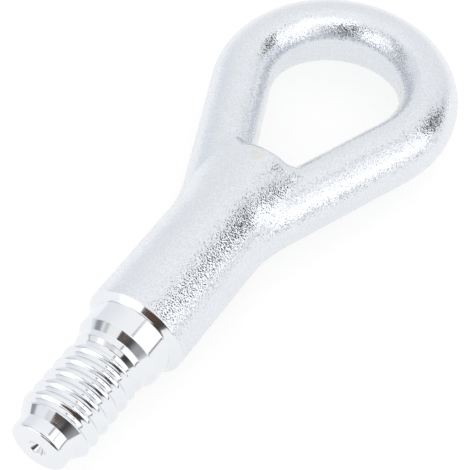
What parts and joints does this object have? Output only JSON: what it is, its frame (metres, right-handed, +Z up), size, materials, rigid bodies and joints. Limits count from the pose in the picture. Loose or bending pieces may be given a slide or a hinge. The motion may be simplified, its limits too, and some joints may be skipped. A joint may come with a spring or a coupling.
{
  "type": "tow eye",
  "caption": "Screw-in vehicle towing eye: one forged piece with a teardrop eye, a round shank and a turned stud with a coarse right-hand thread.",
  "frame": {"origin": "on the plane it lies on, under the middle of its length and width", "axes": "+X along the shank from the stud's tip towards the eye, +Y across the eye, +Z up, square to the plane of the eye"},
  "size_m": [0.1533, 0.0618, 0.0244],
  "materials": {
    "plated_steel": "bright zinc plate, blasted on the forging and mirror-turned on the stud"
  },
  "bodies": {
    "root": {"tow_eye": "plated_steel"}
  },
  "joints": []
}
